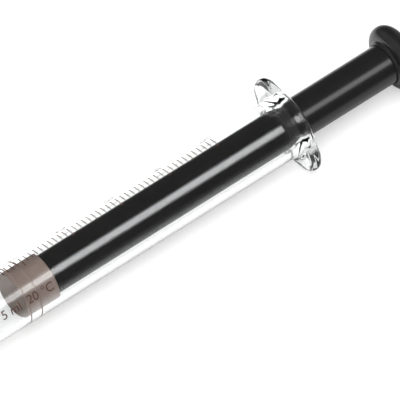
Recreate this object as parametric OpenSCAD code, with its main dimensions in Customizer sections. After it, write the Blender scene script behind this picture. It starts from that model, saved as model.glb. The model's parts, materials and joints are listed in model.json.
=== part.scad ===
// Gas-tight glass syringe, 5 ml, lying on a table with its plunger slightly drawn.
// Millimetres. X runs along the syringe towards the plunger knob, Z is up.
// Each sub-part is drawn along its own axis, from the zero line of the scale
// towards the knob, and is then laid down along X.

/* [Glass barrel] */
// Diameter of the ground bore
bore_d = 10.3; // [9.9:0.05:10.7]
// Thickness of the glass wall
glass_wall = 1.25; // [1.0:0.05:1.6]
// Thickness of the glass floor in front of the bore
floor_t = 2.0; // [1.6:0.1:3.0]
// Radius of the rounded front shoulder
shoulder_r = 2.2; // [1.2:0.1:2.6]
// Diameter of the front neck
neck_d = 6.6; // [6.2:0.1:7.0]
// Length of the front neck
neck_len = 6.5; // [4.5:0.1:9.0]
// Gap left between the plunger's tip and the floor when it is pushed home
stop_gap = 0.1; // [0.05:0.05:0.5]

/* [Finger flange] */
// Length across both lobes
flange_span = 21.5; // [19.5:0.1:25.0]
// Diameter of the flange's rim between the lobes
flange_mid_d = 14.4; // [13.6:0.1:14.8]
// Radius of each lobe's end
lobe_r = 4.0; // [3.0:0.1:5.0]
// Thickness of the flange
flange_t = 2.8; // [2.0:0.1:4.0]
// Length of the flare that leads from the barrel up to the rim between the lobes
flare_len = 3.3; // [2.0:0.1:5.0]
// Width of the rim between the lobes, counted from the barrel's end
rim_w = 2.0; // [1.0:0.1:2.6]
// Fillet between the barrel and the lobes
flange_fillet = 2.0; // [1.0:0.1:3.0]

/* [Scale] */
// Length of the graduated stroke
scale_len = 60; // [50:0.5:66]
// Distance from the full line to the flange
scale_to_flange = 15.6; // [10:0.1:20]
// Number of the smallest divisions
divisions = 50; // [25:25:50]
// Number of millilitres at the full line
full_ml = 5; // [1:1:10]
// Width of a line
line_w = 0.22; // [0.15:0.01:0.4]
// Thickness of the ink
ink_t = 0.04; // [0.02:0.01:0.08]
// Angle round the barrel where all lines start
start_angle = 121; // [100:1:130]
// Angle that a short line spans
short_angle = 19; // [14:1:30]
// Angle that a line at every half millilitre spans
half_angle = 22; // [16:1:40]
// Angle that a line at every millilitre spans
long_angle = 26; // [18:1:60]

/* [Luer lock] */
// Diameter of the cone at its tip
luer_tip_d = 3.95; // [3.93:0.01:3.99]
// Length of the cone from the lock's floor to its tip
luer_len = 8.0; // [7.5:0.1:9.0]
// Length of the cone that stands out of the collar
luer_out = 2.1; // [2.1:0.1:3.0]
// Diameter of the nozzle's shank inside the neck
shank_d = 4.5; // [4.3:0.05:4.8]
// Diameter of the fluid passage
passage_d = 1.5; // [0.8:0.1:2.0]
// Thickness of the nozzle's seating disc
disc_t = 1.0; // [0.6:0.1:1.5]
// Outside diameter of the collar
collar_d = 10.4; // [9.8:0.1:11.2]
// Bore of the collar round the cone
lock_bore_d = 8.0; // [7.9:0.05:8.1]
// Inside diameter of the lip that holds the nozzle
lip_d = 5.0; // [4.8:0.1:5.6]
// Thickness of that lip
lip_t = 0.85; // [0.6:0.05:1.5]
// Thickness of the cement round the neck
cement_t = 0.25; // [0.15:0.05:0.4]
// Distance of the cement from each end of its gap
cement_inset = 0.2; // [0.1:0.1:0.6]
// Chamfer on the collar's outer edges
collar_chamfer = 0.4; // [0.1:0.1:0.8]
// Gap between the collar's back and the glass shoulder
collar_gap = 0.3; // [0.1:0.1:1.0]

/* [Plunger tip] */
// Distance of the tip from the zero line in this pose
plunger_draw = 7.8; // [0.2:0.2:30]
// Length of the tip
tip_len = 8.0; // [7.2:0.1:10]
// Radial gap between the tip's body and the bore
tip_gap = 0.1; // [0.05:0.01:0.2]
// Radial gap between a sealing rib and the bore
rib_gap = 0.012; // [0.01:0.001:0.03]
// Width of a sealing rib
rib_w = 0.7; // [0.4:0.1:1.0]
// Distance of the front rib's middle from the tip's face
rib_front = 0.55; // [0.5:0.05:0.8]
// Distance of the rear rib's middle from the tip's face
rib_rear = 3.2; // [3.0:0.1:3.6]
// Thickness of the tip's front wall
cap_floor = 2.0; // [1.2:0.1:2.2]
// Thickness of the tip's side wall
cap_wall = 1.25; // [1.1:0.05:1.5]
// Length of the lip that snaps behind the core
snap_len = 1.5; // [1.0:0.1:2.0]
// Height of that lip
snap_h = 0.55; // [0.3:0.05:0.8]
// Clearance that lets the core turn in the tip
swivel_gap = 0.05; // [0.03:0.01:0.1]
// Thickness of the elastic ring under the rear rib
ring_t = 1.0; // [0.7:0.1:1.2]

/* [Plunger rod and knob] */
// Diameter of the rod
rod_d = 8.7; // [8.0:0.1:9.0]
// Distance from the flange's front to the middle of the knob in this pose
knob_out = 28.8; // [24:0.1:45]
// Diameter of the knob
knob_d = 14.5; // [14.4:0.1:18]
// Thickness of the knob, whose rim is fully round
knob_t = 4.4; // [3.8:0.1:6.0]
// Diameter of the low boss round the rod
boss_d = 10.4; // [9.4:0.1:11]
// Height of that boss
boss_t = 0.6; // [0.3:0.1:1.2]
// Depth of the rod's seat in the knob
seat_depth = 1.0; // [0.5:0.1:1.4]
// Diameter of both threaded studs
stud_d = 4.0; // [3.0:0.1:5.0]
// Length of each stud inside the rod
stud_len = 8.0; // [5:0.5:14]
// Length of the rear stud inside the knob
stud_in_knob = 2.2; // [1.2:0.1:2.4]
// Depth of a stud's hole past the stud
hole_end = 0.5; // [0.1:0.1:2.0]

/* [Fits] */
// Radial clearance of pieces that are pressed, screwed, snapped or printed on
fit_gap = 0.01; // [0.01:0.005:0.03]
// Clearance of faces that are clamped together
seat_gap = 0.02; // [0.01:0.01:0.05]

/* [Hidden] */
$fn = 96;
over = 1;
luer_taper = 0.06;
bore_r = bore_d / 2;
barrel_r = bore_r + glass_wall;
neck_r = neck_d / 2;
flange_mid_r = flange_mid_d / 2;
knob_r = knob_d / 2;
rod_r = rod_d / 2;
stud_r = stud_d / 2;

// Stations along the axis, counted from the zero line towards the knob
z_flange = scale_len + scale_to_flange;
z_mouth = z_flange + flange_t;
z_floor = -stop_gap;
z_front = z_floor - floor_t;
z_neck = z_front - neck_len;
z_disc = z_neck - seat_gap;
z_lip = z_disc - disc_t - seat_gap;
z_lock = z_lip - lip_t;
z_collar = z_lock - luer_len + luer_out;
z_luer = z_lock - luer_len;
z_collar_back = z_front - collar_gap;
z_tip = plunger_draw;
z_rod = z_tip + tip_len;
z_knob_mid = z_flange + knob_out;
z_knob = z_knob_mid - knob_t / 2;
z_end = z_knob_mid + knob_t / 2;

// Lobes of the flange, whose straight sides run into the glass wall
lobe_out = flange_span / 2 - lobe_r;
waist_r = barrel_r - glass_wall / 2;
side_tilt = asin((waist_r - lobe_r) / lobe_out);
z_rim = z_mouth - rim_w;
z_flare = z_rim - flare_len;

// The syringe rolls on its front end and its knob until a lobe meets the table
rest_h = barrel_r + (knob_r - barrel_r) * (z_flange + flange_t / 2) / z_knob_mid;
rest_roll = asin((rest_h - lobe_r) / lobe_out);
axis_z = max(knob_r, flange_mid_r, lobe_out * sin(rest_roll) + lobe_r);
x_shift = -(z_luer + z_end) / 2;

// Parts of the tip
tip_r = bore_r - tip_gap;
rib_r = bore_r - rib_gap;
cap_len = tip_len - 2 * swivel_gap;
cavity_r = tip_r - cap_wall;
snap_r = cavity_r - snap_h;
z_cavity = z_tip + cap_floor;
z_snap = z_tip + cap_len - snap_len;
ring_mid_r = cavity_r - fit_gap - ring_t / 2;

module laid() {
    translate([x_shift, 0, axis_z]) rotate([0, 90, 0]) children();
}

module rolled() {
    laid() rotate([0, 0, rest_roll]) children();
}

module disc(r, from, to) {
    translate([0, 0, from]) cylinder(r = r, h = to - from);
}

module lobe_outline() {
    sx = cos(side_tilt);
    sy = sin(side_tilt);
    translate([0, lobe_out]) circle(r = lobe_r);
    translate([0, -lobe_out]) circle(r = lobe_r);
    polygon([
        [waist_r * sx, waist_r * sy],
        [lobe_r * sx, lobe_out + lobe_r * sy],
        [-lobe_r * sx, lobe_out + lobe_r * sy],
        [-waist_r * sx, waist_r * sy],
        [-waist_r * sx, -waist_r * sy],
        [-lobe_r * sx, -lobe_out - lobe_r * sy],
        [lobe_r * sx, -lobe_out - lobe_r * sy],
        [waist_r * sx, -waist_r * sy]
    ]);
}

module lobe_fillet_ring() {
    rotate_extrude() difference() {
        translate([barrel_r - glass_wall / 2, z_flange - flange_fillet])
            square([flange_fillet + glass_wall / 2, flange_fillet + flange_t / 2]);
        translate([barrel_r + flange_fillet, z_flange - flange_fillet])
            circle(r = flange_fillet);
    }
}

module barrel_outside() {
    rotate_extrude() {
        translate([0, z_neck]) square([neck_r, neck_len + over]);
        translate([0, z_front]) square([barrel_r - shoulder_r, z_mouth - z_front]);
        translate([0, z_front + shoulder_r]) square([barrel_r, z_mouth - z_front - shoulder_r]);
        translate([barrel_r - shoulder_r, z_front + shoulder_r]) circle(r = shoulder_r);
        polygon([
            [waist_r, z_flare],
            [barrel_r, z_flare],
            [flange_mid_r, z_rim],
            [flange_mid_r, z_mouth],
            [waist_r, z_mouth]
        ]);
    }
}

module glass_barrel() {
    color([0.90, 0.95, 0.95, 0.35]) rolled() difference() {
        union() {
            barrel_outside();
            translate([0, 0, z_flange]) linear_extrude(height = flange_t) lobe_outline();
            intersection() {
                lobe_fillet_ring();
                translate([0, 0, z_flange - flange_fillet - over])
                    linear_extrude(height = flange_fillet + flange_t + over) lobe_outline();
            }
        }
        disc(bore_r, z_floor, z_mouth + over);
        disc(shank_d / 2 + fit_gap, z_neck - over, z_floor + over);
    }
}

module scale_line(z, span) {
    rotate([0, 0, start_angle]) rotate_extrude(angle = span)
        translate([barrel_r + fit_gap / 2, z - line_w / 2]) square([ink_t, line_w]);
}

module scale_marks() {
    step = scale_len / divisions;
    per_ml = divisions / full_ml;
    per_half = per_ml / 2;
    color([0.33, 0.18, 0.13]) rolled() for (i = [0 : divisions]) {
        span = i % per_ml == 0 ? long_angle : i % per_half == 0 ? half_angle : short_angle;
        scale_line(i * step, span);
    }
}

module luer_nozzle() {
    color([0.93, 0.93, 0.90]) laid() difference() {
        union() {
            disc(shank_d / 2, z_disc - disc_t / 2, z_floor);
            disc(neck_r, z_disc - disc_t, z_disc);
            translate([0, 0, z_luer]) cylinder(
                r1 = luer_tip_d / 2,
                r2 = luer_tip_d / 2 + luer_taper * (z_disc - disc_t / 2 - z_luer) / 2,
                h = z_disc - disc_t / 2 - z_luer);
        }
        disc(passage_d / 2, z_luer - over, z_floor + over);
    }
}

module lock_collar() {
    color([0.78, 0.77, 0.74]) laid() difference() {
        union() {
            disc(collar_d / 2, z_collar + collar_chamfer, z_collar_back - collar_chamfer);
            translate([0, 0, z_collar]) cylinder(
                r1 = collar_d / 2 - collar_chamfer, r2 = collar_d / 2, h = collar_chamfer);
            translate([0, 0, z_collar_back - collar_chamfer]) cylinder(
                r1 = collar_d / 2, r2 = collar_d / 2 - collar_chamfer, h = collar_chamfer);
        }
        disc(neck_r + cement_t, z_lip, z_collar_back + over);
        disc(lip_d / 2, z_lock - over, z_lip + over);
        disc(lock_bore_d / 2, z_collar - over, z_lock);
    }
}

module collar_cement() {
    color([0.72, 0.66, 0.50]) laid() difference() {
        disc(neck_r + cement_t - fit_gap / 2, z_neck + cement_inset, z_collar_back - cement_inset);
        disc(neck_r + fit_gap / 2, z_neck - over, z_collar_back + over);
    }
}

module tip_cap() {
    color([0.55, 0.47, 0.43]) laid() difference() {
        union() {
            disc(tip_r, z_tip, z_tip + cap_len);
            disc(rib_r, z_tip + rib_front - rib_w / 2, z_tip + rib_front + rib_w / 2);
            disc(rib_r, z_tip + rib_rear - rib_w / 2, z_tip + rib_rear + rib_w / 2);
        }
        disc(cavity_r, z_cavity, z_snap);
        disc(snap_r, z_snap - over, z_tip + cap_len + over);
    }
}

module tip_ring() {
    color([0.06, 0.06, 0.06]) laid() translate([0, 0, z_tip + rib_rear])
        rotate_extrude() translate([ring_mid_r, 0]) circle(r = ring_t / 2, $fn = 48);
}

module tip_core() {
    ring_z = z_tip + rib_rear;
    half = ring_t / 2 + 2 * swivel_gap;
    head_r = cavity_r - swivel_gap;
    color([0.70, 0.70, 0.71]) laid() difference() {
        union() {
            disc(head_r, z_cavity + swivel_gap, z_snap - swivel_gap);
            disc(snap_r - swivel_gap, z_snap - 2 * swivel_gap, z_rod);
            disc(stud_r, z_rod - over, z_rod + stud_len);
        }
        difference() {
            disc(head_r + over, ring_z - half, ring_z + half);
            disc(ring_mid_r - ring_t / 2 - swivel_gap, ring_z - over, ring_z + over);
        }
    }
}

module plunger_rod() {
    color([0.05, 0.05, 0.055]) laid() difference() {
        disc(rod_r, z_rod, z_knob + seat_depth);
        disc(stud_r + fit_gap, z_rod - over, z_rod + stud_len + hole_end);
        disc(stud_r + fit_gap, z_knob + seat_depth - stud_len - hole_end, z_knob + seat_depth + over);
    }
}

module knob_stud() {
    color([0.70, 0.70, 0.71]) laid()
        disc(stud_r, z_knob + seat_depth - stud_len, z_knob + seat_depth + stud_in_knob);
}

module plunger_knob() {
    rim = knob_t / 2;
    color([0.05, 0.05, 0.055]) laid() difference() {
        union() {
            rotate_extrude() {
                translate([0, z_knob]) square([knob_r - rim, knob_t]);
                translate([knob_r - rim, z_knob_mid]) circle(r = rim);
            }
            translate([0, 0, z_knob - boss_t]) cylinder(
                r1 = boss_d / 2 - boss_t / 2, r2 = boss_d / 2, h = boss_t + rim / 2);
        }
        disc(rod_r + fit_gap, z_knob - boss_t - over, z_knob + seat_depth + seat_gap);
        disc(stud_r + fit_gap, z_knob, z_knob + seat_depth + stud_in_knob + seat_gap);
    }
}

glass_barrel();
scale_marks();
luer_nozzle();
lock_collar();
collar_cement();
tip_cap();
tip_ring();
tip_core();
plunger_rod();
knob_stud();
plunger_knob();
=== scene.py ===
"""Gas-tight glass syringe, dressed round its packed solids.

Lengths are metres in the solids' own frame: X runs along the syringe towards the
knob and Z is up. Every turned piece shares one axis. A turn is an angle round that
axis, counted from straight up towards the near side.
"""

import json
from math import asin, atan2, ceil, cos, pi, radians, sin, sqrt, tan

import bpy
from bpy.props import (
    FloatProperty, FloatVectorProperty, IntProperty, PointerProperty, StringProperty,
)
from bpy.types import Operator, Panel, PropertyGroup
from mathutils import Matrix, Vector


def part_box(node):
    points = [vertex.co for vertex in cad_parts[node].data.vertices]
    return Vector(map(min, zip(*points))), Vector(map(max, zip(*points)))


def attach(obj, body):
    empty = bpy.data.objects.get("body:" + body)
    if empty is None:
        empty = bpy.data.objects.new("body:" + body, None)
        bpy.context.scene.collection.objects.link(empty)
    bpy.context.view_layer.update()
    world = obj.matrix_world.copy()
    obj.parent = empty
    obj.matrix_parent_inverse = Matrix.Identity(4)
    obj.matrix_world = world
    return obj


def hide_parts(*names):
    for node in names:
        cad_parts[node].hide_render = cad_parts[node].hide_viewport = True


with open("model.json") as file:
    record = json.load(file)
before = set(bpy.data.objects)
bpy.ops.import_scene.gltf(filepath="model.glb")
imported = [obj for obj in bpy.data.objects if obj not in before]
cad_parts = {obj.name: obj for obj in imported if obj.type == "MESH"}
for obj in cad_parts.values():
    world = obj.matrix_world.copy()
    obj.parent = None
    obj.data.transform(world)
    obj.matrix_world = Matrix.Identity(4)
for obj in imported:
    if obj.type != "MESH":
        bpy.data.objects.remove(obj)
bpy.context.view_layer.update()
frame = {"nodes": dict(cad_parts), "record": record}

bl_info = {
    "name": "Gas-tight Syringe",
    "version": (1, 0, 0),
    "blender": (4, 5, 0),
    "location": "3D View > Sidebar > Syringe",
    "description": "Dresses the solids of a gas-tight glass syringe and sets up its stage",
    "category": "Object",
}

# Places and sizes that the packed solids give
MM = 0.001
MOUNTS = {mount["name"]: mount for mount in frame["record"]["mounts"]}
AXIS = Vector((0, 0, MOUNTS["knob_back"]["pos_m"][2]))


def span(node):
    """Gives where a node starts and ends along the syringe, and its half height."""
    low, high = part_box(node)
    return round(low.x, 6), round(high.x, 6), round((high.z - low.z) / 2, 5)


GLASS_FRONT, GLASS_BACK, _ = span("glass_barrel")
NOZZLE_FRONT, NOZZLE_BACK, DISC_RADIUS = span("luer_nozzle")
COLLAR_FRONT, COLLAR_BACK, COLLAR_RADIUS = span("lock_collar")
TIP_FRONT, TIP_BACK, _ = span("tip_cap")
ROD_FRONT, ROD_BACK, ROD_RADIUS = span("plunger_rod")
_, STUD_BACK, STUD_RADIUS = span("knob_stud")
KNOB_FRONT, KNOB_BACK, KNOB_RADIUS = span("plunger_knob")
SCALE_FRONT, SCALE_BACK, _ = span("scale_marks")
BARREL_RADIUS = MOUNTS["barrel"]["dims"]["r_mm"] * MM
LOBE_MIDDLE = Vector(MOUNTS["flange_back"]["pos_m"]) - AXIS
LOBE_OUT = round(LOBE_MIDDLE.yz.length, 5)
LOBE_TURN = atan2(-LOBE_MIDDLE.y, LOBE_MIDDLE.z)
FACE_TURN = LOBE_TURN + pi / 2

# Fineness of the curves, the meshes and the print
ROUNDING_STEP = radians(10)
SMOOTH_ANGLE = radians(30)
MERGE_GAP = 0.0002 * MM
SAME_POINT = 0.006 * MM
LINE_STEPS = 12
THREAD_STEPS = 72
WRAP_CUT = 0.25 * MM
# Share of a font's size that its figures reach
FIGURE_SHARE = 0.7
# How much darker and lighter than its colour the fired ink is
INK_RANGE = 0.7, 1.5

# Parts of a direction over which each light of the room fades in
FRONT_WALL_FADE = 0.1, -0.5
BACK_WALL_FADE = 0.45, 0.75
FRONT_FILL_FADE = 0.1, -1.1
CEILING_FADE = 0.15, 0.5
# Glass surfaces passed by a ray that is mirrored inside the wall, and a margin for counting
WALL_PASSES = 2
HALF_PASS = 0.5
# Gap that keeps the floor clear of the pieces that rest on it
FLOOR_DROP = 0.02 * MM


def length(label, meaning, default):
    """Makes a length setting in metres."""
    return FloatProperty(
        name=label, description=meaning, default=default,
        precision=5, unit="LENGTH", subtype="DISTANCE",
    )


def angle(label, meaning, degrees):
    """Makes an angle setting, given in degrees."""
    return FloatProperty(
        name=label, description=meaning, default=radians(degrees), unit="ROTATION", subtype="ANGLE"
    )


def colour(label, meaning, default):
    """Makes a colour setting."""
    return FloatVectorProperty(
        name=label, description=meaning, default=default, size=3, min=0, max=1, subtype="COLOR"
    )


def level(label, meaning, default):
    """Makes a plain number setting."""
    return FloatProperty(name=label, description=meaning, default=default, precision=4)


def count(label, meaning, default, least=1):
    """Makes a whole number setting."""
    return IntProperty(name=label, description=meaning, default=default, min=least)


def power(label, meaning, watts):
    """Makes the power setting of a lamp."""
    return FloatProperty(name=label, description=meaning, default=watts, unit="POWER")


class BarrelSettings(PropertyGroup):
    """Sizes and finish of the glass barrel and its finger flange."""

    wall: length("Wall", "Thickness of the glass round the bore", 1.25 * MM)
    floor: length("Floor", "Thickness of the glass in front of the bore", 2.0 * MM)
    shoulder: length("Shoulder", "Rounding of the front shoulder", 2.2 * MM)
    neck_radius: length("Neck radius", "Radius of the front neck", 3.3 * MM)
    neck_length: length("Neck length", "Length of the front neck", 6.5 * MM)
    neck_hole: length("Neck hole", "Radius of the hole through the neck", 2.26 * MM)
    flange: length("Flange", "Thickness of the finger flange", 2.8 * MM)
    flange_radius: length("Flange radius", "Radius of the flange's rim between its lobes", 7.2 * MM)
    lobe_radius: length("Lobe radius", "Radius of each lobe's end", 4.0 * MM)
    foot: length("Foot", "Fillet between barrel and lobes", 2.0 * MM)
    flare: length("Flare", "Length of the flare up to the rim between the lobes", 3.7 * MM)
    hollow: level("Hollow", "Share of the flare that is hollow before it rounds over", 0.75)
    crest: length("Crest", "Width of that rim, with its rounded back edge", 2.0 * MM)
    rim: length("Rim", "Rounding of the flange's edges at its lobes", 1.35 * MM)
    mouth: length("Mouth", "Rounding of the bore's mouth", 0.6 * MM)
    polish: length("Fire polish", "Rounding of the other glass edges", 0.25 * MM)
    steps: count("Steps", "Facets round the glass", 256, 64)
    tint: colour("Tint", "Colour of light that passes through the glass", (0.976, 0.988, 0.985))
    refraction: level("Refraction", "Index of refraction of borosilicate glass", 1.473)
    shade: level("Shade", "Share of lamp light that passes one surface of the glass", 0.92)
    shadow: level("Shadow", "Share of lamp light that glass seen edge on holds back", 0.9)
    smudge: level("Smudge", "Roughness of the glass where it is smudged most", 0.012)
    draw_depth: length("Draw lines", "Depth of the faint lines along the drawn glass", 0.00006 * MM)


class PrintSettings(PropertyGroup):
    """Sizes and colour of the fired scale and its numbers."""

    line: length("Line", "Width of a scale line", 0.22 * MM)
    ink: length("Ink", "Thickness of the fired ink", 0.04 * MM)
    lift: length("Lift", "Gap that keeps the ink clear of the glass", 0.005 * MM)
    divisions: count("Divisions", "Smallest divisions of the scale", 50)
    full: count("Full", "Millilitres at the full line", 5)
    start: angle("Start", "Turn at which all lines start, from the face between the lobes", -59)
    short: angle("Short line", "Turn that a short line spans", 19)
    half: angle("Half line", "Turn that a line at a half millilitre spans", 22)
    whole: angle("Whole line", "Turn that a line at a millilitre spans", 26)
    number_height: length("Number height", "Height of a number beside the scale", 2.3 * MM)
    number_turn: angle("Number turn", "Turn at the middle of the numbers", -94)
    legend: StringProperty(
        name="Legend", description="Plain words near the front", default="5 ml  20 °C"
    )
    legend_height: length("Legend height", "Height of the legend's letters", 1.9 * MM)
    legend_along: length("Legend place", "Middle of the legend behind the zero line", 8.1 * MM)
    legend_turn: angle("Legend turn", "Turn at the middle of the legend", 25)
    brown: colour("Ink colour", "Fired brown ink", (0.07, 0.030, 0.021))


class LockSettings(PropertyGroup):
    """Sizes and finishes of the Luer nozzle and its lock collar."""

    passage: length("Passage", "Radius of the fluid passage", 0.75 * MM)
    tip_radius: length("Cone tip", "Radius of the cone at its tip", 1.975 * MM)
    taper: level("Taper", "Growth of the cone's diameter for its length", 0.06)
    shank: length("Shank", "Radius of the nozzle inside the neck", 2.25 * MM)
    disc: length("Disc", "Thickness of the nozzle's seating disc", 1.0 * MM)
    seat: length("Seat", "Clearance of clamped faces", 0.02 * MM)
    edge: length("Edge", "Rounding of the nozzle's edges", 0.18 * MM)
    bore: length("Lock bore", "Radius inside the collar round the cone", 4.0 * MM)
    back_bore: length("Back bore", "Radius inside the collar round the neck", 3.55 * MM)
    lip: length("Lip", "Radius inside the lip that holds the nozzle", 2.5 * MM)
    lip_thickness: length("Lip thickness", "Thickness of that lip", 0.85 * MM)
    chamfer: length("Chamfer", "Chamfer of the collar's outer edges", 0.4 * MM)
    flutes: count("Flutes", "Grooves of the collar's knurl", 64)
    flute_depth: length("Flute depth", "Depth of a knurl groove", 0.22 * MM)
    band: length("Knurl inset", "Plain ring left at each end of the knurl", 1.1 * MM)
    crest: length("Thread crest", "Radius at the crest of the lock's thread", 3.5 * MM)
    ridge: length("Thread ridge", "Width of the thread's ridge at its crest", 0.5 * MM)
    lead: length("Lead", "Advance of the lock's thread in one turn", 5.0 * MM)
    starts: count("Starts", "Thread ridges side by side", 2)
    white: colour("White", "White fluoropolymer of the nozzle", (0.82, 0.82, 0.79))
    nickel: colour("Nickel", "Satin plating of the collar", (0.70, 0.68, 0.64))
    cement: colour("Cement", "Hardened resin round the neck", (0.55, 0.46, 0.29))
    white_roughness: level("White roughness", "Roughness of the nozzle", 0.38)
    nickel_roughness: level("Nickel roughness", "Roughness of the plating", 0.24)
    cement_roughness: level("Cement roughness", "Roughness of the resin", 0.5)


class PlungerSettings(PropertyGroup):
    """Sizes and finishes of the sealing tip, the rod and the knob."""

    tip_radius: length("Tip radius", "Radius of the tip between its ribs", 5.05 * MM)
    rib_width: length("Rib width", "Width of a sealing rib", 0.7 * MM)
    rib_press: length("Rib press", "How far a rib presses past the bore", 0.004 * MM)
    front_rib: length("Front rib", "Middle of the front rib behind the tip's face", 0.55 * MM)
    rear_rib: length("Rear rib", "Middle of the rear rib behind the tip's face", 3.2 * MM)
    cap_floor: length("Tip front", "Thickness of the tip's front wall", 2.0 * MM)
    cap_wall: length("Tip wall", "Thickness of the tip's side wall", 1.25 * MM)
    snap_length: length("Snap length", "Length of the lip behind the core", 1.5 * MM)
    snap_height: length("Snap height", "Height of that lip", 0.55 * MM)
    fit: length("Fit", "Clearance round the studs and the rod's seat", 0.01 * MM)
    stud_length: length("Stud length", "Length of each stud inside the rod", 8.0 * MM)
    hole_end: length("Hole end", "Depth of a stud's hole past the stud", 0.5 * MM)
    rod_edge: length("Rod edge", "Chamfer at the rod's front edge", 0.3 * MM)
    knob: length("Knob", "Thickness of the knob, whose rim is fully round", 4.4 * MM)
    boss_radius: length("Boss radius", "Radius of the low boss round the rod", 4.8 * MM)
    seat_depth: length("Seat depth", "Depth of the rod's seat in the knob", 1.0 * MM)
    steps: count("Steps", "Facets round the turned pieces", 192, 48)
    tan: colour("Tip colour", "Filled grey-brown fluoropolymer", (0.34, 0.258, 0.226))
    tan_refraction: level("Tip refraction", "Index of refraction of the tip", 1.5)
    tan_roughness: level("Tip roughness", "Roughness of the tip", 0.36)
    black: colour("Black", "Black anodised aluminium", (0.0105, 0.010, 0.010))
    black_refraction: level("Black refraction", "Index of refraction of the dyed oxide", 1.45)
    black_roughness: level("Black roughness", "Roughness of the dyed oxide", 0.21)
    rubber: colour("Rubber", "Elastic ring inside the tip", (0.02, 0.02, 0.02))
    rubber_roughness: level("Rubber roughness", "Roughness of the elastic ring", 0.6)
    steel: colour("Steel", "Turned steel of the core and the stud", (0.56, 0.56, 0.57))
    steel_roughness: level("Steel roughness", "Roughness of the turned steel", 0.26)


class StageSettings(PropertyGroup):
    """Floor, lamps and camera."""

    floor_size: length("Floor", "Side of the pale floor", 6.0)
    floor_grey: level("Floor grey", "Share of the light that the floor scatters", 0.7)
    floor_glow: level("Floor glow", "Light of the floor itself where it is looked at", 0.42)
    floor_through: level(
        "Floor through", "Light added to the floor where it is looked at through glass", 0.18
    )
    floor_near: length(
        "Floor near", "Half width of the strip of floor that shows fully in a gloss", 16 * MM
    )
    floor_far: length("Floor far", "Distance past which the floor is dim in a gloss", 60 * MM)
    floor_shown: level(
        "Floor shown", "Share of the near floor's light that shows in a gloss behind glass", 0.6
    )
    floor_beyond: length(
        "Floor beyond", "Distance past which the far floor glows in a gloss too", 10 * MM
    )
    floor_dim: level("Floor dim", "Share of the floor's light that is left far from it", 0.12)
    fill: level("Fill", "Diffuse light from all round", 0.25)
    front_fill: level("Front fill", "Diffuse light from the near side and the syringe's front", 1.4)
    room: level("Room", "Light of the dark room that shows in a gloss", 0.07)
    ceiling: level("Ceiling", "Light of the room overhead that shows through glass", 0.15)
    front_wall: level(
        "Front wall", "Light of the wall beyond the syringe's front that shows in a gloss", 0.5
    )
    back_wall: level("Back wall", "Light of the wall beyond its knob that shows in a gloss", 0.4)
    azimuth: angle("Camera azimuth", "Direction of the camera round the object", -37.65)
    elevation: angle("Camera elevation", "Height of the camera above the horizon", 54.2)
    distance: length("Camera distance", "Distance from the point looked at", 1.8)
    frame_width: length("Frame width", "Width of the view at the point looked at", 79.73 * MM)
    aim: FloatVectorProperty(
        name="Aim", description="Point that the camera looks at",
        default=(SCALE_FRONT + 52.56 * MM, -3.06 * MM, AXIS.z - 1.715 * MM),
        precision=5, unit="LENGTH", subtype="TRANSLATION",
    )
    strip_azimuth: angle("Strip azimuth", "Direction of the strip lamp that draws the gloss", 35.15)
    strip_elevation: angle("Strip elevation", "Height of the strip lamp", 52.0)
    strip_distance: length("Strip distance", "Distance of the strip lamp", 1.3)
    strip_length: length("Strip length", "Length of the strip lamp, along the syringe", 0.36)
    strip_width: length("Strip width", "Width of the strip lamp", 0.46)
    strip_power: power("Strip power", "Power of the strip lamp", 2.6)
    rim_width: length("Strip rim", "Width of the dim lamp that softens the strip's edges", 0.74)
    rim_power: power("Strip rim power", "Power of that lamp", 1.1)
    top_height: length("Top height", "Height of the soft lamp overhead", 1.2)
    top_size: length("Top size", "Diameter of the soft lamp overhead", 1.4)
    top_power: power("Top power", "Power of the soft lamp overhead", 14.6)


def place(along, radius, turn=0.0):
    """Gives the point at a distance along the syringe, a radius and a turn."""
    return Vector((along, -radius * sin(turn), AXIS.z + radius * cos(turn)))


def soften(corners, closed=False):
    """Rounds the corners of an outline, each given as along, radius and rounding."""
    points = []
    last = len(corners) - 1
    for index, (along, radius, rounding) in enumerate(corners):
        corner = Vector((along, radius))
        if not rounding or (not closed and index in (0, last)):
            points.append(corner)
            continue
        before = Vector(corners[index - 1][:2]) - corner
        after = Vector(corners[(index + 1) % len(corners)][:2]) - corner
        before.normalize()
        after.normalize()
        inside = before.angle(after)
        sweep = pi - inside
        middle = corner + (before + after).normalized() * rounding / sin(inside / 2)
        first = corner + before * rounding / tan(inside / 2) - middle
        second = corner + after * rounding / tan(inside / 2) - middle
        parts = max(2, ceil(sweep / ROUNDING_STEP))
        for number in range(parts + 1):
            share = number / parts
            ahead = first * sin((1 - share) * sweep) + second * sin(share * sweep)
            points.append(middle + ahead / sin(sweep))
    return points


def arc(along, radius, size, first, last, steps=9):
    """Gives points on an arc, its angles counted from along the syringe outwards."""
    turns = [first + (last - first) * number / steps for number in range(steps + 1)]
    return [Vector((along + size * cos(turn), radius + size * sin(turn))) for turn in turns]


def alone(piece=None):
    """Leaves only one piece selected, or none."""
    bpy.ops.object.select_all(action="DESELECT")
    if piece is not None:
        piece.select_set(True)
        bpy.context.view_layer.objects.active = piece


def close_mesh():
    """Merges doubled points of the mesh in edit mode and points its faces outwards."""
    bpy.ops.mesh.select_all(action="SELECT")
    bpy.ops.mesh.remove_doubles(threshold=MERGE_GAP)
    bpy.ops.mesh.select_all(action="SELECT")
    bpy.ops.mesh.normals_make_consistent(inside=False)


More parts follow.
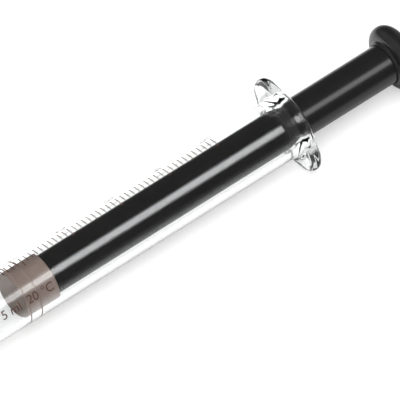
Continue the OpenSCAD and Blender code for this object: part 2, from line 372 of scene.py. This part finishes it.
def turned(outline, steps):
    """Draws an outline point by point and spins it round the syringe's axis."""
    alone()
    bpy.ops.mesh.primitive_plane_add(size=MM, location=place(*outline[0]))
    bpy.ops.object.mode_set(mode="EDIT")
    bpy.ops.mesh.merge(type="CENTER")
    for here, there in zip(outline, outline[1:]):
        move = place(*there) - place(*here)
        bpy.ops.mesh.extrude_vertices_move(TRANSFORM_OT_translate={"value": move})
    bpy.ops.mesh.select_all(action="SELECT")
    bpy.ops.mesh.spin(steps=steps, angle=2 * pi, center=AXIS, axis=(1, 0, 0))
    close_mesh()
    bpy.ops.object.mode_set(mode="OBJECT")
    piece = bpy.context.active_object
    bpy.ops.object.transform_apply(location=True, rotation=True, scale=True)
    return piece


def ring(corners, steps):
    """Turns an outline that closes on itself, for a piece with a hole through it."""
    outline = soften(corners, closed=True)
    return turned([*outline, outline[0]], steps)


def bar(corners, steps):
    """Turns an outline that starts and ends on the axis, for a piece with none."""
    return turned(soften(corners), steps)


def joined(pieces):
    """Joins pieces into the first of them."""
    alone(pieces[0])
    for piece in pieces:
        piece.select_set(True)
    bpy.ops.object.join()
    return bpy.context.active_object


def settle(piece, name, body, finish, nodes=()):
    """Names a piece, smooths it, gives it its finish and hangs it on its body."""
    piece.name = name
    piece.data.name = name
    alone(piece)
    bpy.ops.object.transform_apply(location=True, rotation=True, scale=True)
    bpy.ops.object.shade_smooth_by_angle(angle=SMOOTH_ANGLE)
    weights = piece.modifiers.new("weights", "WEIGHTED_NORMAL")
    weights.keep_sharp = True
    bpy.ops.object.modifier_apply(modifier=weights.name)
    piece.data.materials.clear()
    piece.data.materials.append(finish)
    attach(piece, body)
    if nodes:
        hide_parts(*nodes)


def dress(node, finish):
    """Gives a solid that stays in view its finish."""
    solid = frame["nodes"][node]
    solid.data.materials.clear()
    solid.data.materials.append(finish)


class Wire:
    """An output of a node, which takes part in plain arithmetic."""

    def __init__(self, finish, socket):
        self.finish = finish
        self.socket = socket

    def maths(self, operation, first, second):
        return self.finish.node("ShaderNodeMath", {"operation": operation}, {0: first, 1: second})

    def __add__(self, other):
        return self.maths("ADD", self, other)

    def __sub__(self, other):
        return self.maths("SUBTRACT", self, other)

    def __rsub__(self, other):
        return self.maths("SUBTRACT", other, self)

    def __mul__(self, other):
        return self.maths("MULTIPLY", self, other)

    def over(self, limit):
        """Gives 1 where the number is above a limit, else 0."""
        return self.maths("GREATER_THAN", self, limit)


class Finish:
    """A material while its nodes are put together."""

    def __init__(self, owner):
        owner.use_nodes = True
        self.owner = owner
        self.tree = owner.node_tree
        self.tree.nodes.clear()

    def node(self, kind, settings=None, inputs=None, output=0):
        """Adds a node, sets it up, feeds its sockets and gives one of its outputs."""
        made = self.tree.nodes.new(kind)
        for key, value in (settings or {}).items():
            setattr(made, key, value)
        for key, value in (inputs or {}).items():
            if isinstance(value, Wire):
                self.tree.links.new(value.socket, made.inputs[key])
            else:
                made.inputs[key].default_value = value
        return Wire(self, made.outputs[output]) if len(made.outputs) else made

    def grain(self, stretch, detail=2.0):
        """Gives noise on the piece's own coordinates, stretched by a number per metre."""
        own = self.node("ShaderNodeTexCoord", output="Object")
        scaled = self.node("ShaderNodeMapping", {}, {"Vector": own, "Scale": stretch})
        inputs = {"Vector": scaled, "Scale": 1.0, "Detail": detail, "Roughness": 0.5}
        return self.node("ShaderNodeTexNoise", {}, inputs)

    def part(self, vector, axis):
        """Gives one part of a vector."""
        return self.node("ShaderNodeSeparateXYZ", {}, {0: vector}, output=axis)

    def fade(self, value, start, end, low=0.0, high=1.0):
        """Goes smoothly from one number to another while a value goes from start to end."""
        return self.node(
            "ShaderNodeMapRange", {"interpolation_type": "SMOOTHSTEP"},
            {"Value": value, "From Min": start, "From Max": end, "To Min": low, "To Max": high},
        )

    def between(self, share, low, high):
        """Mixes two colours by a share that changes over the surface."""
        return self.node(
            "ShaderNodeMix",
            {"data_type": "RGBA"},
            {"Factor": share, 6: (*low, 1.0), 7: (*high, 1.0)},
            output=2,
        )

    def mottled(self, share, shade, contrast):
        """Mixes a darker and a lighter form of a colour by a share over the surface."""
        return self.between(share, shaded(shade, 1 - contrast), shaded(shade, 1 + contrast))

    def bump(self, height, distance):
        """Gives the normal of a fine relief."""
        inputs = {"Height": height, "Distance": distance, "Strength": 1.0}
        return self.node("ShaderNodeBump", {}, inputs)

    def principled(self, inputs):
        """Adds the main surface shader."""
        return self.node("ShaderNodeBsdfPrincipled", {}, inputs)

    def show(self, shader, target="ShaderNodeOutputMaterial"):
        """Ends the material with a shader and gives it back."""
        self.node(target, {}, {"Surface": shader})
        return self.owner


def shaded(shade, factor):
    """Makes a colour darker or lighter."""
    return tuple(min(1.0, part * factor) for part in shade)


def clear_glass(settings):
    """Clear drawn glass with faint draw lines, which lets lamps through to what is inside."""
    finish = Finish(bpy.data.materials.new("clear_glass"))
    draw_lines = finish.grain((30, 700, 700), detail=1.0)
    smudges = finish.grain((60, 160, 160), detail=3.0)
    glass = finish.principled({
        "Base Color": (*settings.tint, 1.0),
        "Transmission Weight": 1.0,
        "IOR": settings.refraction,
        "Roughness": smudges * settings.smudge,
        "Normal": finish.bump(draw_lines, settings.draw_depth),
    })
    clear = finish.node("ShaderNodeBsdfTransparent", {}, {"Color": (*[settings.shade] * 3, 1.0)})
    edge_on = finish.node("ShaderNodeLayerWeight", {}, {"Blend": 0.5}, output="Facing")
    shadow_ray = finish.node("ShaderNodeLightPath", output="Is Shadow Ray")
    to_lamp = shadow_ray * (1 - edge_on * settings.shadow)
    return finish.show(finish.node("ShaderNodeMixShader", {}, {0: to_lamp, 1: glass, 2: clear}))


def fired_ink(settings):
    """Brown ceramic ink with a grainy, slightly thin print."""
    finish = Finish(bpy.data.materials.new("fired_ink"))
    speckle = finish.grain((9000, 9000, 9000), detail=3.0)
    dark, pale = (shaded(settings.brown, factor) for factor in INK_RANGE)
    return finish.show(finish.principled({
        "Base Color": finish.between(speckle, dark, pale),
        "Roughness": speckle * 0.2 + 0.45,
        "Normal": finish.bump(speckle, 0.004 * MM),
    }))


def plastic(name, shade, roughness, contrast=0.12, relief=0.003 * MM, refraction=1.45):
    """Satin fluoropolymer with soft mottling and a fine skin."""
    finish = Finish(bpy.data.materials.new(name))
    mottle = finish.grain((700, 700, 700), detail=4.0)
    skin = finish.grain((6000, 6000, 6000), detail=2.0)
    return finish.show(finish.principled({
        "Base Color": finish.mottled(mottle, shade, contrast),
        "IOR": refraction,
        "Roughness": skin * 0.14 + (roughness - 0.07),
        "Normal": finish.bump(skin, relief),
    }))


def turned_metal(name, shade, roughness, lines=9000, relief=0.0015 * MM, contrast=0.06):
    """Metal with the fine rings that a lathe leaves round the axis."""
    finish = Finish(bpy.data.materials.new(name))
    rings = finish.grain((lines, 30, 30), detail=2.0)
    cloud = finish.grain((500, 500, 500), detail=3.0)
    return finish.show(finish.principled({
        "Base Color": finish.mottled(cloud, shade, contrast),
        "Metallic": 1.0,
        "Roughness": cloud * 0.06 + rings * 0.04 + (roughness - 0.05),
        "Normal": finish.bump(rings, relief),
    }))


def black_oxide(settings):
    """Dyed oxide on turned aluminium, satin, with faint lathe rings and cloudy gloss."""
    finish = Finish(bpy.data.materials.new("black_anodised"))
    rings = finish.grain((6000, 20, 20), detail=2.0)
    cloud = finish.grain((240, 240, 240), detail=3.0)
    return finish.show(finish.principled({
        "Base Color": finish.mottled(cloud, settings.black, 0.15),
        "IOR": settings.black_refraction,
        "Roughness": cloud * 0.05 + rings * 0.03 + (settings.black_roughness - 0.04),
        "Normal": finish.bump(rings, 0.00015 * MM),
    }))


def flange_reach(turn, settings):
    """Gives the flange's radius at a turn from its lobes, whose sides are straight."""
    lobe, middle = settings.lobe_radius, settings.flange_radius
    away = abs((turn + pi / 2) % pi - pi / 2)
    lean = asin((middle - lobe) / LOBE_OUT)
    lobe_ends = atan2(lobe * cos(lean), LOBE_OUT + lobe * sin(lean))
    if away < lobe_ends:
        return LOBE_OUT * cos(away) + sqrt(lobe ** 2 - (LOBE_OUT * sin(away)) ** 2)
    if away < pi / 2 - lean:
        return middle / sin(away + lean)
    return middle


def flange_outlines(settings):
    """Gives the flange's outline through a lobe and the slim one between lobes, point for point."""
    flange = GLASS_BACK - settings.flange
    foot, rim, mouth = settings.foot, settings.rim, settings.mouth
    widest = LOBE_OUT + settings.lobe_radius
    lip = arc(GLASS_BACK - mouth, BARREL_RADIUS - settings.wall + mouth, mouth, 0, -pi / 2)
    lobe = [
        *arc(flange - foot, BARREL_RADIUS + foot, foot, -pi / 2, 0),
        *arc(flange + rim, widest - rim, rim, pi, pi / 2),
        *arc(GLASS_BACK - rim, widest - rim, rim, pi / 2, 0),
    ]
    narrow, crest = settings.flange_radius, GLASS_BACK - settings.crest
    lean = 2 * atan2(narrow - BARREL_RADIUS, settings.flare)
    hollow = settings.hollow * settings.flare / sin(lean)
    round_over = (1 - settings.hollow) * settings.flare / sin(lean)
    slim = [
        *arc(crest - settings.flare, BARREL_RADIUS + hollow, hollow, -pi / 2, lean - pi / 2),
        *arc(crest, narrow - round_over, round_over, lean + pi / 2, pi / 2),
        *arc(GLASS_BACK - mouth, narrow - mouth, mouth, pi / 2, 0),
    ]
    return lobe + lip, slim + lip


def draw_lobes(piece, lobe, slim, settings):
    """Draws a round flange in between its lobes, from the lobe's outline to the slim one."""
    narrow = settings.flange_radius
    widest = LOBE_OUT + settings.lobe_radius
    for point in piece.data.vertices:
        side = point.co - AXIS
        here = Vector((point.co.x, side.yz.length))
        index = min(range(len(lobe)), key=lambda number: (lobe[number] - here).length_squared)
        if (lobe[index] - here).length > SAME_POINT:
            continue
        turn = atan2(-side.y, side.z)
        share = (flange_reach(turn - LOBE_TURN, settings) - narrow) / (widest - narrow)
        there = slim[index].lerp(lobe[index], share)
        point.co = place(there.x, there.y, turn)


class SYRINGE_OT_glass_barrel(Operator):
    """Turns the barrel with its neck and shoulder and draws the flange out into two lobes"""

    bl_idname = "syringe.glass_barrel"
    bl_label = "Glass Barrel"

    def execute(self, context):
        glass = context.scene.syringe_barrel
        bore = BARREL_RADIUS - glass.wall
        shoulder = GLASS_FRONT + glass.neck_length
        bore_floor = shoulder + glass.floor
        lobe, slim = flange_outlines(glass)
        body = soften([
            (GLASS_BACK - glass.mouth, bore, 0),
            (bore_floor, bore, glass.polish),
            (bore_floor, glass.neck_hole, glass.polish),
            (GLASS_FRONT, glass.neck_hole, glass.polish),
            (GLASS_FRONT, glass.neck_radius, glass.polish),
            (shoulder, glass.neck_radius, glass.polish),
            (shoulder, BARREL_RADIUS, glass.shoulder),
            (GLASS_BACK - glass.flange - glass.foot, BARREL_RADIUS, 0),
        ])
        piece = turned([*body, *lobe], glass.steps)
        draw_lobes(piece, lobe, slim, glass)
        settle(piece, "barrel_glass", "barrel", clear_glass(glass), ["glass_barrel"])
        return {"FINISHED"}


def scale_lines(first, sweep, repeats, settings):
    """Makes one curved scale line at a place along the syringe and repeats it by count and step."""
    start = FACE_TURN + settings.start
    middle = BARREL_RADIUS + settings.lift + settings.ink / 2
    alone()
    bpy.ops.mesh.primitive_plane_add(
        size=1, location=place(first, middle, start), rotation=(start + pi / 2, 0, 0)
    )
    bpy.ops.transform.resize(value=(settings.line, settings.ink, settings.ink))
    bpy.ops.object.transform_apply(location=True, rotation=True, scale=True)
    bpy.ops.object.mode_set(mode="EDIT")
    bpy.ops.mesh.select_all(action="SELECT")
    bpy.ops.mesh.spin(steps=LINE_STEPS, angle=-sweep, center=AXIS, axis=(1, 0, 0))
    close_mesh()
    bpy.ops.object.mode_set(mode="OBJECT")
    piece = bpy.context.active_object
    for times, step in repeats:
        copies = piece.modifiers.new("copies", "ARRAY")
        copies.count = times
        copies.use_relative_offset = False
        copies.use_constant_offset = True
        copies.constant_offset_displace = (step, 0, 0)
        bpy.ops.object.modifier_apply(modifier=copies.name)
    return piece


def wrapped_words(words, height, along, turn, upright, settings):
    """Sets words in ink and lays them round the barrel, upright or along it."""
    alone()
    bpy.ops.object.text_add(rotation=(0, 0, -pi / 2 if upright else 0))
    words_object = bpy.context.active_object
    text = words_object.data
    text.body = words
    text.align_x = "CENTER"
    text.align_y = "CENTER"
    text.size = height / FIGURE_SHARE
    text.extrude = settings.ink / 2
    bpy.ops.object.convert(target="MESH")
    piece = bpy.context.active_object
    bpy.ops.object.transform_apply(location=True, rotation=True, scale=True)
    bpy.ops.object.mode_set(mode="EDIT")
    close_mesh()
    reach = max(abs(point.co.y) for point in piece.data.vertices)
    cuts = ceil(reach / WRAP_CUT)
    for number in range(-cuts, cuts + 1):
        bpy.ops.mesh.select_all(action="SELECT")
        bpy.ops.mesh.bisect(plane_co=(0, number * WRAP_CUT, 0), plane_no=(0, 1, 0))
    bpy.ops.object.mode_set(mode="OBJECT")
    middle = BARREL_RADIUS + settings.lift + settings.ink / 2
    for point in piece.data.vertices:
        here = FACE_TURN + turn - point.co.y / BARREL_RADIUS
        point.co = place(along + point.co.x, middle + point.co.z, here)
    return piece


class SYRINGE_OT_printed_scale(Operator):
    """Prints the scale's lines, its numbers and a plain legend on the glass"""

    bl_idname = "syringe.printed_scale"
    bl_label = "Printed Scale"

    def execute(self, context):
        ink = context.scene.syringe_print
        zero = SCALE_FRONT + ink.line / 2
        whole = (SCALE_BACK - SCALE_FRONT - ink.line) / ink.full
        half = whole / 2
        division = whole * ink.full / ink.divisions
        between = round(half / division) - 1
        lines = joined([
            scale_lines(zero, ink.whole, [(ink.full + 1, whole)], ink),
            scale_lines(zero + half, ink.half, [(ink.full, whole)], ink),
            scale_lines(
                zero + division, ink.short, [(between, division), (2 * ink.full, half)], ink
            ),
        ])
        finish = fired_ink(ink)
        settle(lines, "scale_lines", "barrel", finish, ["scale_marks"])
        numbers = joined([
            wrapped_words(
                str(number), ink.number_height, zero + number * whole, ink.number_turn, True, ink
            )
            for number in range(ink.full + 1)
        ])
        settle(numbers, "scale_numbers", "barrel", finish)
        legend = wrapped_words(
            ink.legend, ink.legend_height, zero + ink.legend_along, ink.legend_turn, False, ink
        )
        settle(legend, "scale_legend", "barrel", finish)
        return {"FINISHED"}


def knurl(piece, settings):
    """Presses straight grooves into the collar by pulling every other row of points in."""
    front, back = COLLAR_FRONT + settings.band, COLLAR_BACK - settings.band
    pitch = 2 * pi / settings.flutes
    slack = settings.chamfer / 4
    bpy.ops.object.mode_set(mode="EDIT")
    bpy.ops.mesh.select_all(action="DESELECT")
    bpy.ops.object.mode_set(mode="OBJECT")
    for point in piece.data.vertices:
        side = point.co - AXIS
        on_band = front - slack < point.co.x < back + slack
        outside = side.yz.length > COLLAR_RADIUS - slack
        row = round(atan2(-side.y, side.z) / pitch * 2)
        point.select = on_band and outside and row % 2 == 1
    shrink = 1 - settings.flute_depth / COLLAR_RADIUS
    bpy.ops.object.mode_set(mode="EDIT")
    bpy.ops.transform.resize(value=(1, shrink, shrink), center_override=AXIS)
    bpy.ops.object.mode_set(mode="OBJECT")


def lock_floor(settings):
    """Gives where the collar's lock bore ends, which is where its lip starts."""
    return GLASS_FRONT - 2 * settings.seat - settings.disc - settings.lip_thickness


def thread_ridge(turn, settings):
    """Winds one ridge of the lock's thread inside the collar."""
    root = settings.bore + settings.chamfer / 4
    width = settings.ridge + root - settings.crest
    front = COLLAR_FRONT + settings.chamfer + width / 2
    turns = (lock_floor(settings) - settings.chamfer / 2 - width / 2 - front) / settings.lead
    alone()
    bpy.ops.mesh.primitive_plane_add(size=2, location=(front, 0, AXIS.z))
    piece = bpy.context.active_object
    for point in piece.data.vertices:
        at_crest = point.co.y > 0
        along = point.co.x * (settings.ridge if at_crest else width) / 2
        point.co = place(along, settings.crest if at_crest else root, turn) - AXIS
    bpy.ops.object.mode_set(mode="EDIT")
    bpy.ops.mesh.delete(type="ONLY_FACE")
    bpy.ops.object.mode_set(mode="OBJECT")
    wind = piece.modifiers.new("wind", "SCREW")
    wind.axis = "X"
    wind.angle = 2 * pi * turns
    wind.screw_offset = settings.lead * turns
    wind.steps = wind.render_steps = ceil(THREAD_STEPS * turns)
    bpy.ops.object.modifier_apply(modifier=wind.name)
    bpy.ops.object.mode_set(mode="EDIT")
    bpy.ops.mesh.select_all(action="SELECT")
    bpy.ops.mesh.fill_holes(sides=0)
    close_mesh()
    bpy.ops.object.mode_set(mode="OBJECT")
    bpy.ops.object.transform_apply(location=True, rotation=True, scale=True)
    return piece


class SYRINGE_OT_luer_lock(Operator):
    """Turns the white nozzle and the knurled collar with its thread"""

    bl_idname = "syringe.luer_lock"
    bl_label = "Luer Lock"

    def execute(self, context):
        lock = context.scene.syringe_lock
        barrel = context.scene.syringe_barrel
        disc_back = GLASS_FRONT - lock.seat
        disc_front = disc_back - lock.disc
        cone_back = lock.tip_radius + lock.taper * (disc_front - NOZZLE_FRONT) / 2
        nozzle = ring([
            (NOZZLE_FRONT, lock.passage, lock.edge),
            (NOZZLE_FRONT, lock.tip_radius, lock.edge),
            (disc_front, cone_back, 0),
            (disc_front, DISC_RADIUS, lock.edge),
            (disc_back, DISC_RADIUS, lock.edge),
            (disc_back, lock.shank, 0),
            (NOZZLE_BACK, lock.shank, lock.edge),
            (NOZZLE_BACK, lock.passage, lock.edge),
        ], barrel.steps // 2)
        white = plastic("white_fluoropolymer", lock.white, lock.white_roughness, contrast=0.04)
        settle(nozzle, "luer_cone", "barrel", white, ["luer_nozzle"])

        floor = lock_floor(lock)
        edge = lock.chamfer
        collar = ring([
            (COLLAR_FRONT, lock.bore, edge / 2),
            (COLLAR_FRONT, COLLAR_RADIUS, edge),
            (COLLAR_FRONT + lock.band - edge / 2, COLLAR_RADIUS, 0),
            (COLLAR_FRONT + lock.band, COLLAR_RADIUS, 0),
            (COLLAR_BACK - lock.band, COLLAR_RADIUS, 0),
            (COLLAR_BACK - lock.band + edge / 2, COLLAR_RADIUS, 0),
            (COLLAR_BACK, COLLAR_RADIUS, edge),
            (COLLAR_BACK, lock.back_bore, edge / 4),
            (floor + lock.lip_thickness, lock.back_bore, 0),
            (floor + lock.lip_thickness, lock.lip, edge / 4),
            (floor, lock.lip, edge / 4),
            (floor, lock.bore, 0),
        ], 2 * lock.flutes)
        knurl(collar, lock)
        ridges = [thread_ridge(2 * pi * start / lock.starts, lock) for start in range(lock.starts)]
        collar = joined([collar, *ridges])
        nickel = turned_metal("satin_nickel", lock.nickel, lock.nickel_roughness)
        settle(collar, "knurled_collar", "barrel", nickel, ["lock_collar"])
        cement = plastic("cement", lock.cement, lock.cement_roughness, contrast=0.3)
        dress("collar_cement", cement)
        return {"FINISHED"}


class SYRINGE_OT_sealing_tip(Operator):
    """Turns the ribbed tip and finishes the ring and the core inside it"""

    bl_idname = "syringe.sealing_tip"
    bl_label = "Sealing Tip"

    def execute(self, context):
        plunger = context.scene.syringe_plunger
        glass = context.scene.syringe_barrel
        body = plunger.tip_radius
        rib = BARREL_RADIUS - glass.wall + plunger.rib_press
        half = plunger.rib_width / 2
        cavity = body - plunger.cap_wall
        snap = cavity - plunger.snap_height
        front, rear = TIP_FRONT + plunger.front_rib, TIP_FRONT + plunger.rear_rib
        edge = plunger.rod_edge
        cap = bar([
            (TIP_FRONT, 0, 0),
            (TIP_FRONT, body, edge / 2),
            (front - half, body, 0),
            (front - half / 2, rib, half / 2),
            (front + half / 2, rib, half / 2),
            (front + half, body, 0),
            (rear - half, body, 0),
            (rear - half / 2, rib, half / 2),
            (rear + half / 2, rib, half / 2),
            (rear + half, body, 0),
            (TIP_BACK, body, edge / 3),
            (TIP_BACK, snap, edge / 2),
            (TIP_BACK - plunger.snap_length, snap, 0),
            (TIP_BACK - plunger.snap_length, cavity, 0),
            (TIP_FRONT + plunger.cap_floor, cavity, 0),
            (TIP_FRONT + plunger.cap_floor, 0, 0),
        ], plunger.steps)
        tan_finish = plastic(
            "filled_fluoropolymer", plunger.tan, plunger.tan_roughness,
            contrast=0.14, refraction=plunger.tan_refraction,
        )
        settle(cap, "ribbed_tip", "seal", tan_finish, ["tip_cap"])
        dress("tip_ring", plastic("rubber", plunger.rubber, plunger.rubber_roughness))
        dress("tip_core", turned_metal("turned_steel", plunger.steel, plunger.steel_roughness))
        return {"FINISHED"}


class SYRINGE_OT_plunger(Operator):
    """Turns the black rod and its knob and finishes the stud between them"""

    bl_idname = "syringe.plunger"
    bl_label = "Plunger"

    def execute(self, context):
        plunger = context.scene.syringe_plunger
        black = black_oxide(plunger)
        hole = STUD_RADIUS + plunger.fit
        depth = plunger.stud_length + plunger.hole_end
        rod = bar([
            (ROD_FRONT + depth, 0, 0),
            (ROD_FRONT + depth, hole, 0),
            (ROD_FRONT, hole, plunger.rod_edge / 3),
            (ROD_FRONT, ROD_RADIUS, plunger.rod_edge),
            (ROD_BACK, ROD_RADIUS, plunger.rod_edge / 3),
            (ROD_BACK, hole, plunger.rod_edge / 3),
            (ROD_BACK - depth, hole, 0),
            (ROD_BACK - depth, 0, 0),
        ], plunger.steps)
        settle(rod, "black_rod", "plunger", black, ["plunger_rod"])

        face = KNOB_BACK - plunger.knob
        seat = face + plunger.seat_depth + plunger.fit
        boss = plunger.rod_edge
        knob = bar([
            (STUD_BACK + plunger.fit, 0, 0),
            (STUD_BACK + plunger.fit, hole, 0),
            (seat, hole, 0),
            (seat, ROD_RADIUS + plunger.fit, 0),
            (KNOB_FRONT, ROD_RADIUS + plunger.fit, boss / 4),
            (KNOB_FRONT, plunger.boss_radius, boss / 2),
            (face, plunger.boss_radius + boss / 2, boss),
            (face, KNOB_RADIUS, plunger.knob / 2 - plunger.fit),
            (KNOB_BACK, KNOB_RADIUS, plunger.knob / 2 - plunger.fit),
            (KNOB_BACK, 0, 0),
        ], plunger.steps)
        settle(knob, "black_knob", "plunger", black, ["plunger_knob"])
        dress("knob_stud", turned_metal("stud_steel", plunger.steel, plunger.steel_roughness))
        return {"FINISHED"}


def towards(azimuth, elevation):
    """Gives the direction from the object to something that stands round it."""
    flat = cos(elevation)
    return Vector((sin(azimuth) * flat, -cos(azimuth) * flat, sin(elevation)))


def past(finish, depth):
    """Gives 1 for rays with at least one bounce of a kind."""
    return finish.node("ShaderNodeLightPath", output=depth).over(HALF_PASS)


def ray_kinds(finish):
    """Gives 1 for rays that look straight or through glass, and 1 for those a gloss mirrors."""
    unscattered = 1 - past(finish, "Diffuse Depth")
    mirrored = past(finish, "Glossy Depth")
    return unscattered * (1 - mirrored), unscattered * mirrored


def pale_floor(stage):
    """White floor that glows where looked at, takes shadows and is a lit strip in a gloss."""
    finish = Finish(bpy.data.materials.new("pale_floor"))
    looked, mirrored = ray_kinds(finish)
    passes = finish.node("ShaderNodeLightPath", output="Transmission Depth")
    in_wall = mirrored * finish.node(
        "ShaderNodeMath", {"operation": "COMPARE"}, {0: passes, 1: WALL_PASSES, 2: HALF_PASS}
    )
    within = mirrored * passes.over(WALL_PASSES + HALF_PASS)

    own = finish.node("ShaderNodeTexCoord", output="Object")
    far_side = finish.part(own, "Y")
    away = far_side.maths("MAXIMUM", 0 - far_side, far_side * (1 - in_wall))
    lit = finish.fade(away, stage.floor_far, stage.floor_near, low=stage.floor_dim)
    beyond = finish.node(
        "ShaderNodeMapRange", {},
        {"Value": far_side, "From Min": 0, "From Max": stage.floor_beyond},
    )

    shown = mirrored - within * (1 - beyond) * (1 - stage.floor_shown)
    grey = (1 - mirrored + shown * lit) * stage.floor_grey
    shade = finish.node("ShaderNodeCombineColor", {}, {0: grey, 1: grey, 2: grey})
    matt = finish.node("ShaderNodeBsdfDiffuse", {}, {"Color": shade})
    glowing = in_wall + (mirrored - in_wall) * beyond
    through = past(finish, "Transmission Depth") * stage.floor_through + stage.floor_glow
    strength = (looked + glowing * lit) * through
    glow = finish.node("ShaderNodeEmission", {}, {"Strength": strength})
    return finish.show(finish.node("ShaderNodeAddShader", {}, {0: matt, 1: glow}))


def studio(stage):
    """White room where looked at, dim in a gloss but for pale walls past the syringe's ends."""
    sky = Finish(bpy.data.worlds.new("studio"))
    looked, mirrored = ray_kinds(sky)
    around = sky.node("ShaderNodeTexCoord", output="Generated")
    ahead, aside, above = (sky.part(around, axis) for axis in "XYZ")
    front_wall = sky.fade(ahead, *FRONT_WALL_FADE, low=stage.room, high=stage.front_wall)
    back_wall = sky.fade(ahead, *BACK_WALL_FADE, high=stage.back_wall)
    soft = sky.fade(ahead + aside, *FRONT_FILL_FADE, low=stage.fill, high=stage.front_fill)
    dark = sky.fade(above, *CEILING_FADE, high=1 - stage.ceiling)
    seen = looked * (1 - past(sky, "Transmission Depth") * dark)
    strength = seen + mirrored * (front_wall + back_wall) + (1 - looked - mirrored) * soft
    light = sky.node("ShaderNodeBackground", {}, {"Color": (1, 1, 1, 1), "Strength": strength})
    return sky.show(light, "ShaderNodeOutputWorld")


def area_lamp(name, middle, along, out, sizes, power):
    """Hangs an area lamp with its long side along one direction and its back to another."""
    bpy.ops.object.light_add(type="AREA", location=middle)
    lamp = bpy.context.active_object
    lamp.name = name
    side = (along - out * along.dot(out)).normalized()
    lamp.rotation_euler = Matrix((side, out.cross(side), out)).transposed().to_euler()
    lamp.data.size, lamp.data.size_y = sizes
    lamp.data.energy = power
    return lamp


class SYRINGE_OT_stage(Operator):
    """Lays the floor, hangs the lamps and sets up the camera"""

    bl_idname = "syringe.stage"
    bl_label = "Stage"

    def execute(self, context):
        stage = context.scene.syringe_stage
        aim = Vector(stage.aim)
        alone()
        bpy.ops.mesh.primitive_plane_add(size=stage.floor_size, location=(0, 0, -FLOOR_DROP))
        floor = context.active_object
        floor.name = "floor"
        bpy.ops.object.transform_apply(location=True)
        floor.data.materials.append(pale_floor(stage))
        context.scene.world = studio(stage)

        along = Vector((1, 0, 0))
        out = towards(stage.strip_azimuth, stage.strip_elevation)
        for name, width, power in (
            ("strip_lamp", stage.strip_width, stage.strip_power),
            ("strip_rim_lamp", stage.rim_width, stage.rim_power),
        ):
            sizes = stage.strip_length, width
            strip = area_lamp(name, aim + out * stage.strip_distance, along, out, sizes, power)
            strip.data.shape = "RECTANGLE"
            strip.visible_diffuse = False

        out = Vector((0, 0, 1))
        sizes = stage.top_size, stage.top_size
        top = area_lamp("top_lamp", out * stage.top_height, along, out, sizes, stage.top_power)
        top.data.shape = "DISK"
        top.visible_glossy = False
        top.visible_transmission = False

        back = towards(stage.azimuth, stage.elevation)
        bpy.ops.object.camera_add(location=aim + back * stage.distance)
        camera = context.active_object
        camera.name = "camera"
        camera.rotation_euler = (-back).to_track_quat("-Z", "Y").to_euler()
        camera.data.lens = camera.data.sensor_width * stage.distance / stage.frame_width
        context.scene.camera = camera
        context.scene.view_settings.view_transform = "Standard"
        return {"FINISHED"}


class SYRINGE_PT_build(Panel):
    """Lists the syringe's pieces and their settings"""

    bl_idname = "SYRINGE_PT_build"
    bl_label = "Syringe"
    bl_space_type = "VIEW_3D"
    bl_region_type = "UI"
    bl_category = "Syringe"

    def draw(self, context):
        for operator in OPERATORS:
            self.layout.operator(operator.bl_idname)
        for name, group in SETTINGS.items():
            box = self.layout.box()
            box.label(text=group.__doc__)
            for prop in group.__annotations__:
                box.prop(getattr(context.scene, name), prop)


SETTINGS = {
    "syringe_barrel": BarrelSettings,
    "syringe_print": PrintSettings,
    "syringe_lock": LockSettings,
    "syringe_plunger": PlungerSettings,
    "syringe_stage": StageSettings,
}
OPERATORS = (
    SYRINGE_OT_glass_barrel,
    SYRINGE_OT_printed_scale,
    SYRINGE_OT_luer_lock,
    SYRINGE_OT_sealing_tip,
    SYRINGE_OT_plunger,
    SYRINGE_OT_stage,
)
CLASSES = (*SETTINGS.values(), *OPERATORS, SYRINGE_PT_build)


def register():
    for item in CLASSES:
        bpy.utils.register_class(item)
    for name, group in SETTINGS.items():
        setattr(bpy.types.Scene, name, PointerProperty(type=group))


def unregister():
    for name in SETTINGS:
        delattr(bpy.types.Scene, name)
    for item in reversed(CLASSES):
        bpy.utils.unregister_class(item)


def main():
    """Builds every piece and the stage."""
    register()
    bpy.ops.syringe.glass_barrel()
    bpy.ops.syringe.printed_scale()
    bpy.ops.syringe.luer_lock()
    bpy.ops.syringe.sealing_tip()
    bpy.ops.syringe.plunger()
    bpy.ops.syringe.stage()


if __name__ == "__main__":
    main()
